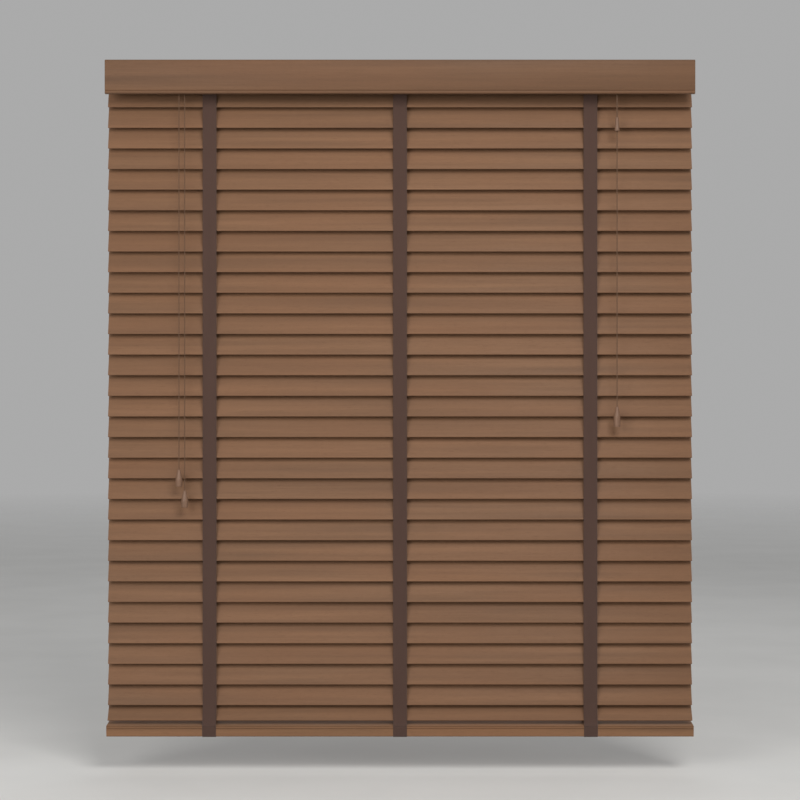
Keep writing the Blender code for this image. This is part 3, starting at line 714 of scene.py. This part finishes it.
def lift_bundle():
    """Three lift cords out of the lock and down into the connector, and one pull cord below it."""
    connector = connector_bell()
    tassel = pull_bell()
    top = CONNECTOR_TOP - 13 * MM
    bottom = PULL_TASSEL_TOP - 16 * MM
    route = along_line((LOCK_X, CORD_Y, top), (LOCK_X, CORD_Y, bottom), CORD_STEP)
    cord = piece("pull_line", tube(route, LIFT_CORD_RADIUS), CORD, "pull", ("pull_cord",))
    join = CONNECTOR_TOP - 10 * MM
    bend = [(LOCK_X, 12 * MM, -26 * MM), (LOCK_X, -20 * MM, -29 * MM), (LOCK_X, -27 * MM, -30.5 * MM)]
    bend += [(LOCK_X, -31 * MM, -33 * MM), (LOCK_X, CORD_Y, -38 * MM)]
    down = along_line((LOCK_X, CORD_Y, -42 * MM), (LOCK_X, CORD_Y, join), 12 * MM)
    middle = eased(bend + down[:1], 2) + down[1:]
    for number, offset in enumerate(BUNDLE, 1):
        path = [point + offset for point in middle]
        stands_for = ("lift_cords",) if number == 1 else ()
        line = piece(
            f"lift_line_{number}", tube(path, BUNDLE_RADIUS), CORD, "headrail", stands_for
        )
        start = Vector((LOCK_X, CORD_Y, join)) + offset
        inner = along_line(start + Vector((0, 0, LIFT_TRAVEL + 4 * MM)), start, 12 * MM)
        work = tube(inner, BUNDLE_RADIUS - SLEEVE_GAP)
        piece(f"lift_line_{number}_paid_out", work, CORD, "pull")
    knot("pull_knot", route[-1] - Vector((0, 0, 2 * MM)), LIFT_CORD_RADIUS, "pull", 1.8)


tilt_cords()
lift_bundle()


# ---------------------------------------------------------------- slats
def slat_mesh():
    """One board with round edges and eased ends, slotted for the three lift cords."""
    half_y, half_z = SLAT_WIDTH / 2, SLAT_THICKNESS / 2
    near_y, near_z = half_y - SLAT_EDGE_RADIUS, half_z - SLAT_EDGE_RADIUS
    outline = []
    corners = ((near_y, near_z), (-near_y, near_z), (-near_y, -near_z), (near_y, -near_z))
    for quarter, corner in enumerate(corners):
        outline += arc(corner, SLAT_EDGE_RADIUS, 90 * quarter, 90 * quarter + 90, 6)
    slots = []
    reach = SLOT_LENGTH / 2 - SLOT_WIDTH / 2
    for x in LADDER_X.values():
        ends = arc((0.0, reach), SLOT_WIDTH / 2, 0, 180, 9) + arc((0.0, -reach), SLOT_WIDTH / 2, 180, 360, 9)
        slot = bmesh.new()
        loft(slot, [[(x + a, b, z) for a, b in ends] for z in (-SLAT_THICKNESS, SLAT_THICKNESS)])
        slots.append(slot)
    return boolean(board(outline, SLAT_LENGTH, 0.6 * MM), slots)


def rung_route():
    """From the front tape round the slat's lower edge and along its underside, as far as the back tape."""
    under = -(SLAT_THICKNESS / 2 + RUNG_THICKNESS)
    edge = SLAT_WIDTH / 2
    points = [(-edge - 1.1 * MM, 1.0 * MM), (-edge - 0.9 * MM, -0.6 * MM), (-edge - 0.2 * MM, under)]
    points += [(-edge + 3 * MM, under), (0.0, under - 0.15 * MM), (edge - 3 * MM, under)]
    return eased(points + [(edge - 0.6 * MM, under)], 2)


def slats_and_rungs():
    """Every slat, with a pair of cross tapes under it at each ladder."""
    board_mesh = slat_mesh()
    for number in range(1, SLAT_COUNT + 1):
        name = f"{number:02d}"
        place = Matrix.Translation((0, 0, slat_height(number))) @ Matrix.Rotation(slat_tilt(number), 4, "X")
        mesh = board_mesh.copy()
        body = "slat_" + name
        finished("slat_board_" + name, mesh, WOOD, body, (body,), 30, place)
        work = bmesh.new()
        for x in LADDER_X.values():
            for side in (-1, 1):
                strap = ribbon(x + side * RUNG_OFFSET, rung_route(), RUNG_WIDTH, RUNG_THICKNESS, 0.12 * MM)
                take_in(work, strap)
        node = f"ladder_rung_{number}"
        stands_for = (node,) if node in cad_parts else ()
        piece("slat_rungs_" + name, work, TAPE, body, stands_for, 40, place)


slats_and_rungs()


# ---------------------------------------------------------------- ladder tapes
WEB = {"front": -11.3 * MM, "back": 10.7 * MM}
LAYER = {"front": -10.6 * MM, "back": 11.5 * MM}
WEB_TOP = {"front": -85 * MM, "back": -41 * MM}
WEB_FOLD = {"front": -1196 * MM, "back": -1189.5 * MM}
WEB_END = {"front": -1320 * MM, "back": -1276 * MM}
TAIL_TOP = {"front": -1268 * MM, "back": -1232 * MM}
TAIL_BEND = {"front": -1321 * MM, "back": -1275 * MM}
LAST_EDGE = {"front": -1351 * MM, "back": -1312.5 * MM}
TAIL_LIFT = 0.62 * MM
HANGER_OFFSET = 1.7 * MM


def web_route(y, top, bottom):
    """Straight down, from one height to another."""
    return along_line((y, top, 0.0), (y, bottom, 0.0), 40 * MM)


def tail_route(face):
    """The end of a tape that goes round the bottom rail, from where the moving web covers it."""
    sign = -1 if face == "front" else 1
    flat = abs(LAYER[face])
    hanging = [(flat, TAIL_TOP[face]), (flat, TAIL_BEND[face]), (17.6 * MM, LAST_EDGE[face])]
    over_edge = in_mm([(24.5, 1.2), (25.8, -0.1), (25.7, -1.2), (24.7, -2.0), (25.6, -3.4), (25.65, -6.0)])
    over_edge += in_mm([(25.65, -16.0)])
    wrapped = [(y, RAIL_TOP + drop) for y, drop in over_edge]
    corner = (RAIL_DEPTH / 2 - RAIL_CORNER, RAIL_BOTTOM + RAIL_CORNER)
    wrapped += arc(corner, RAIL_CORNER + TAIL_LIFT, 0, -90, 6)
    wrapped += [(14 * MM, RAIL_BOTTOM - TAIL_LIFT), (RAIL_RECESS_RADIUS + 2 * MM, RAIL_BOTTOM - TAIL_LIFT)]
    return eased([(sign * y, z) for y, z in hanging] + leaned([(sign * y, z) for y, z in wrapped]), 2)


def ladder(side, x):
    """Both tapes of a ladder: the moving web, its low end, the tail and the hanger."""
    for face in ("front", "back"):
        body = face + "_tapes"
        sign = -1 if face == "front" else 1
        node = f"{face}_tape_{side}"
        upper = ribbon(x, web_route(WEB[face], WEB_TOP[face], WEB_FOLD[face]))
        piece(f"{face}_web_{side}", upper, TAPE, body, (node,), 40)
        lower = ribbon(x, web_route(WEB[face], WEB_FOLD[face], WEB_END[face]))
        folding = piece(f"{face}_web_low_{side}", lower, TAPE, body, (), 40)
        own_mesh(folding)
        tail = ribbon(x, tail_route(face))
        piece(f"{face}_tail_{side}", tail, TAPE, "bottom_rail", (), 40)
        start = (sign * (DRUM_RADIUS + HANGER_OFFSET), ROD_Z)
        if face == "front":
            stub = ribbon(x, along_line((*start, 0.0), (WEB[face], WEB_TOP[face], 0.0), 8 * MM))
            short = piece(f"front_hanger_{side}", stub, TAPE, "headrail", (), 40)
            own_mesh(short)
            continue
        points = eased([start, (LAYER[face], -44 * MM), (LAYER[face], -88 * MM)], 2)
        piece(f"back_hanger_{side}", ribbon(x, points), TAPE, "headrail", (), 40)
    drum_wrap(side, x)


def drum_wrap(side, x):
    """The turn of tape round a tilt drum."""
    work = bmesh.new()
    inner, outer = DRUM_RADIUS + 0.1 * MM, DRUM_RADIUS + 0.9 * MM
    half = TAPE_WIDTH / 2
    section = [(-half, inner), (-half, outer), (half, outer), (half, inner)]
    turns = 48
    rings = []
    for i in range(turns):
        angle = math.tau * i / turns
        rings.append([(x + a, r * math.cos(angle), ROD_Z + r * math.sin(angle)) for a, r in section])
    loft(work, rings + [rings[0]], closed_ends=False)
    bmesh.ops.remove_doubles(work, verts=work.verts, dist=1e-7)
    layer = work.loops.layers.uv.new("weave")
    for face in work.faces:
        for loop in face.loops:
            place = loop.vert.co
            angle = math.atan2(place.z - ROD_Z, place.y)
            loop[layer].uv = ((place.x - x) / MM, angle * DRUM_RADIUS / MM)
    piece(f"drum_wrap_{side}", work, TAPE, "tilt_rod", (), 40)


for ladder_side, ladder_x in LADDER_X.items():
    ladder(ladder_side, ladder_x)


# ---------------------------------------------------------------- lift cords through the slats
def lift_cords():
    """Each cord from its knot under the rail, through the slats and along the headrail to the lock."""
    knot_z = RAIL_BOTTOM + RAIL_RECESS_DEPTH - 2 * MM
    lane_pitch = 2.2 * MM
    rise = in_mm([(0, 0, -41), (0.7, 0, -38.6), (2.6, 0, -37.3), (18.5, 0, -37.2), (20.5, 2, -36)])
    rise += in_mm([(22, 8, -31.5), (23, 14, -27.5), (24, 17.5, -25.4)])
    for lane, (side, x) in enumerate(LADDER_X.items()):
        hanging = along_line((x, 0, -41 * MM), (x, 0, knot_z), CORD_STEP)
        line = piece(f"lift_drop_{side}", tube(hanging, LIFT_CORD_RADIUS), CORD, "headrail")
        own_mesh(line)
        shift = Vector((0.0, lane_pitch * (lane - 1), 0.0))
        run = [Vector((x + along, y, z)) for along, y, z in rise]
        run += [Vector((x + 30 * MM, LIFT_RUN_Y, LIFT_RUN_Z)) + shift]
        if side != "right":
            near, far = (x + 60 * MM, LIFT_RUN_Y, LIFT_RUN_Z), (LOCK_X - 20 * MM, LIFT_RUN_Y, LIFT_RUN_Z)
            run += [point + shift for point in along_line(near, far, 100 * MM)]
        run += [Vector((LOCK_X - 5 * MM, 17.5 * MM, LIFT_RUN_Z)) + shift * 0.5]
        run += [Vector((LOCK_X, 12 * MM, -26 * MM)) + BUNDLE[lane]]
        route = eased(run, 2)
        piece(f"lift_run_{side}", tube(route, BUNDLE_RADIUS), CORD, "headrail")
        knot(f"lift_knot_{side}", (x, 0, knot_z - 1.0 * MM), LIFT_CORD_RADIUS, "bottom_rail", 2.2)


lift_cords()


# ---------------------------------------------------------------- bottom rail and valance
def bottom_rail():
    """A board with a bead between two grooves in front, drilled and counterbored for the lift cords."""
    half = RAIL_DEPTH / 2
    outline = arc((RAIL_CORNER - half, RAIL_BOTTOM + RAIL_CORNER), RAIL_CORNER, 180, 270, 7)
    outline += arc((half - RAIL_CORNER, RAIL_BOTTOM + RAIL_CORNER), RAIL_CORNER, 270, 360, 7)
    outline += arc((half - RAIL_CORNER, RAIL_TOP - RAIL_CORNER), RAIL_CORNER, 0, 90, 7)
    outline += [(0.9 * MM - half, RAIL_TOP), (0.1 * MM - half, RAIL_TOP - 0.5 * MM)]
    outline += [(-half, RAIL_TOP - 0.9 * MM)]
    groove = [(-0.3 * MM, 0.0), (0.0, -0.4 * MM), (0.0, -1.1 * MM), (-0.3 * MM, -1.5 * MM)]
    bead = arc((RAIL_BEAD_RADIUS - half, RAIL_TOP - 3.95 * MM), RAIL_BEAD_RADIUS, 130, 230, 7)
    for groove_top, below in ((RAIL_TOP - 1.2 * MM, bead), (RAIL_TOP - 5.2 * MM, [])):
        outline += [(RAIL_GROOVE - half + y, groove_top + z) for y, z in groove] + below
    outline += [(-half, RAIL_TOP - 7.1 * MM)]
    tools = []
    for x in LADDER_X.values():
        low = (x, 0.0, RAIL_BOTTOM - 5 * MM)
        tools.append(straight_tube(low, (x, 0.0, RAIL_TOP + 5 * MM), RAIL_HOLE_RADIUS))
        tools.append(straight_tube(low, (x, 0.0, RAIL_BOTTOM + RAIL_RECESS_DEPTH), RAIL_RECESS_RADIUS, 40))
    mesh = boolean(board(leaned(outline), RAIL_LENGTH, 0.35 * MM), tools)
    finished("rail_board", mesh, RAIL_WOOD_PAINTED_LIGHT, "bottom_rail", ("bottom_rail",), 30)
    button = in_mm([(0.0, -0.9), (6.6, -0.9), (7.4, -0.6), (7.6, -0.1), (6.2, -0.1)])
    button += in_mm([(6.2, 3.0), (5.2, 3.0), (5.2, 0.3), (0.0, 0.3)])
    middle = leaned([(-1.8 * MM, RAIL_BOTTOM)])[0]
    for side, x in LADDER_X.items():
        place = Matrix.Translation((x, *middle)) @ Matrix.Rotation(RAIL_LEAN, 4, "X")
        piece(f"rail_button_{side}", lathe(button), PLASTIC, "bottom_rail", (), 30, place)


def valance():
    """A moulded board with a rounded top edge, and a quirk above the bead along its lower edge."""
    front = VALANCE_BACK - VALANCE_THICKNESS
    low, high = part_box("valance")
    bead = (VALANCE_GROOVE_Z - low.z) / 2
    centre = low.z + bead
    outline = [(VALANCE_BACK, low.z), (VALANCE_BACK, high.z)]
    outline += arc((front + 3 * MM, high.z - 3 * MM), 3 * MM, 90, 180, 8)
    outline += [(front, VALANCE_GROOVE_Z + 1.5 * MM), (front + 0.4 * MM, VALANCE_GROOVE_Z + 0.4 * MM)]
    outline += [(front + 1.5 * MM, VALANCE_GROOVE_Z)]
    outline += arc((front + bead, centre), bead, 140, 270, 12)
    work = board(outline, high.x - low.x, 0.8 * MM)
    piece("valance_board", work, VALANCE_WOOD_PAINTED_SHADE, "headrail", ("valance",), 30)


bottom_rail()
valance()


# ---------------------------------------------------------------- headrail
def headrail():
    """Sheet steel folded into a channel with turned-in lips, open on top."""
    half = (HEADRAIL_DEPTH - HEADRAIL_WALL) / 2
    top = HEADRAIL_TOP - HEADRAIL_WALL / 2
    bottom = HEADRAIL_BOTTOM + HEADRAIL_WALL / 2
    lip = half - HEADRAIL_LIP + HEADRAIL_WALL / 2
    bend = 1.4 * MM
    right = [(half - bend, bottom)] + arc((half - bend, bottom + bend), bend, 270, 360, 5)[1:]
    right += arc((half - bend, top - bend), bend, 0, 90, 5) + [(lip, top)]
    left = [(-y, z) for y, z in reversed(right)]
    channel = ribbon(0.0, left + right, HEADRAIL_LENGTH, HEADRAIL_WALL, 0.1 * MM)
    tape_opening = in_mm([(-19, -25, -45), (19, 23, -36)])
    cord_opening = in_mm([(-9, -32, -37.5), (9, -24, -22.5)])
    tools = [block(*[(x + along, y, z) for along, y, z in tape_opening]) for x in LADDER_X.values()]
    tools += [block(*[(x + along, y, z) for along, y, z in cord_opening]) for x in (TILTER_X, LOCK_X)]
    mesh = boolean(channel, tools)
    finished("headrail_channel", mesh, STEEL, "headrail", ("headrail",), 30)


def cradle(side, x):
    """Two moulded plates with feet that carry the tilt rod on both sides of a drum."""
    outline = [(-12.0, -38.3), (12.0, -38.3), (10.5, -25.0), (5.2, -15.8), (3.4, -15.8)]
    outline += arc((0.0, -20.0), 4.0, 40, -220, 14)
    outline += [(-3.4, -15.8), (-5.2, -15.8), (-10.5, -25.0)]
    outline = in_mm(outline)
    work = bmesh.new()
    for low, high, toe in in_mm(((-21.4, -19.4, -28.0), (26.0, 28.0, 35.0))):
        loft(work, [[(x + along, y, z) for y, z in outline] for along in (low, high)])
        start, end = sorted((toe, (low + high) / 2))
        foot = block((x + start, -9 * MM, -38.4 * MM), (x + end, 9 * MM, -36.9 * MM), 0.3 * MM)
        take_in(work, foot)
    piece("drum_cradle_" + side, work, PLASTIC, "headrail")


def fittings():
    """Valance clips over the front lip, the lock's roller and a collar on the end of the tilt rod."""
    route = [(-36.9, -32.0), (-36.9, -9.5), (-28.3, -8.5), (-28.1, -1.0), (-21.4, -1.0), (-21.4, -4.5)]
    route = eased(in_mm(route), 2)
    for number, x in enumerate((-520 * MM, -200 * MM, 200 * MM, 520 * MM), 1):
        clip = ribbon(x, route, 18 * MM, 1.0 * MM)
        piece(f"valance_clip_{number}", clip, PLASTIC, "headrail")
    along_x = Matrix.Rotation(math.radians(90), 4, "Y")
    roller = in_mm([(0.0, 3.6), (3.7, 3.6), (4.1, 3.2), (3.8, 0.0)])
    roller += [(radius, -height) for radius, height in reversed(roller[:3])]
    place = Matrix.Translation((LOCK_X, -14 * MM, -21 * MM)) @ along_x
    piece("lock_roller", lathe(roller), ROD_STEEL, "headrail", place=place)
    collar = in_mm([(3.5, 2.5), (5.6, 2.5), (6.0, 2.1), (6.0, -2.1), (5.6, -2.5), (3.5, -2.5)])
    place = Matrix.Translation((410 * MM, 0.0, ROD_Z)) @ along_x
    piece("rod_collar", lathe(collar), PLASTIC, "tilt_rod", place=place)


headrail()
for cradle_side, cradle_x in LADDER_X.items():
    cradle(cradle_side, cradle_x)
fittings()

NODE_MATERIALS = {
    "bracket_left": STEEL,
    "bracket_right": STEEL,
    "tilt_rod": ROD_STEEL,
    "tilter_housing": PLASTIC,
    "tilter_pulley": PLASTIC,
    "cord_lock": PLASTIC,
}
for drum_side in LADDER_X:
    NODE_MATERIALS["tilt_drum_" + drum_side] = PLASTIC
for node_name, node_material in NODE_MATERIALS.items():
    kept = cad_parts[node_name]
    for material_slot in kept.material_slots:
        material_slot.link = "OBJECT"
        material_slot.material = node_material


# ---------------------------------------------------------------- floor and light
FLOOR_RADIUS = 14.0
FLOOR_HEIGHT = -1.46
FADE_START = 5.5
FADE_END = 13.0
LIGHT_TARGET = (0.0, 0.0, -0.7)
DAYLIGHT = (1.0, 0.98, 0.95)


def floor():
    """A wide pale disc below the blind that fades out far away."""
    work = bmesh.new()
    bmesh.ops.create_circle(work, cap_ends=True, segments=96, radius=FLOOR_RADIUS)
    mesh = bpy.data.meshes.new("floor")
    work.to_mesh(mesh)
    work.free()
    made, tree, shader = new_material("floor", Roughness=0.8, Specular_IOR_Level=0.2)
    place = add(tree, "ShaderNodeTexCoord").outputs["Object"]
    mottle = noise(tree, place, 3.0, 4.0)
    base = blend_colours(tree, spread(tree, mottle, 0.3, 0.7), (0.70, 0.70, 0.69), (0.74, 0.74, 0.73))
    tree.links.new(base, shader.inputs["Base Color"])
    distance = add(tree, "ShaderNodeVectorMath", {0: place}, operation="LENGTH").outputs["Value"]
    fade = spread(tree, distance, FADE_START, FADE_END)
    clear = add(tree, "ShaderNodeBsdfTransparent")
    mixed = add(tree, "ShaderNodeMixShader", {0: fade, 1: shader.outputs[0], 2: clear.outputs[0]})
    tree.links.new(mixed.outputs[0], tree.nodes["Material Output"].inputs["Surface"])
    mesh.materials.append(made)
    thing = bpy.data.objects.new("floor", mesh)
    thing.location.z = FLOOR_HEIGHT
    bpy.context.scene.collection.objects.link(thing)


def soft_light(name, place, width, height, power, colour=(1.0, 1.0, 1.0)):
    """A wide lamp that points at the middle of the blind."""
    data = bpy.data.lights.new(name, "AREA")
    data.shape = "RECTANGLE"
    data.size = width
    data.size_y = height
    data.energy = power
    data.color = colour
    made = bpy.data.objects.new(name, data)
    made.location = place
    made.rotation_euler = (Vector(LIGHT_TARGET) - Vector(place)).to_track_quat("-Z", "Y").to_euler()
    bpy.context.scene.collection.objects.link(made)


def studio():
    """A pale surround, two lamps in front and a weak one behind."""
    world = bpy.data.worlds.new("studio")
    bpy.context.scene.world = world
    world.use_nodes = True
    background = world.node_tree.nodes["Background"]
    background.inputs["Color"].default_value = (0.9, 0.9, 0.9, 1.0)
    background.inputs["Strength"].default_value = 0.45
    soft_light("front_left", (-1.7, -3.2, 0.2), 1.8, 1.4, 52.0, DAYLIGHT)
    soft_light("front_right", (1.0, -3.2, 1.5), 1.8, 1.4, 84.0, DAYLIGHT)
    soft_light("back", (0.8, 3.0, 1.6), 2.4, 1.6, 12.0)
    bpy.context.scene.view_settings.view_transform = "Standard"


floor()
studio()
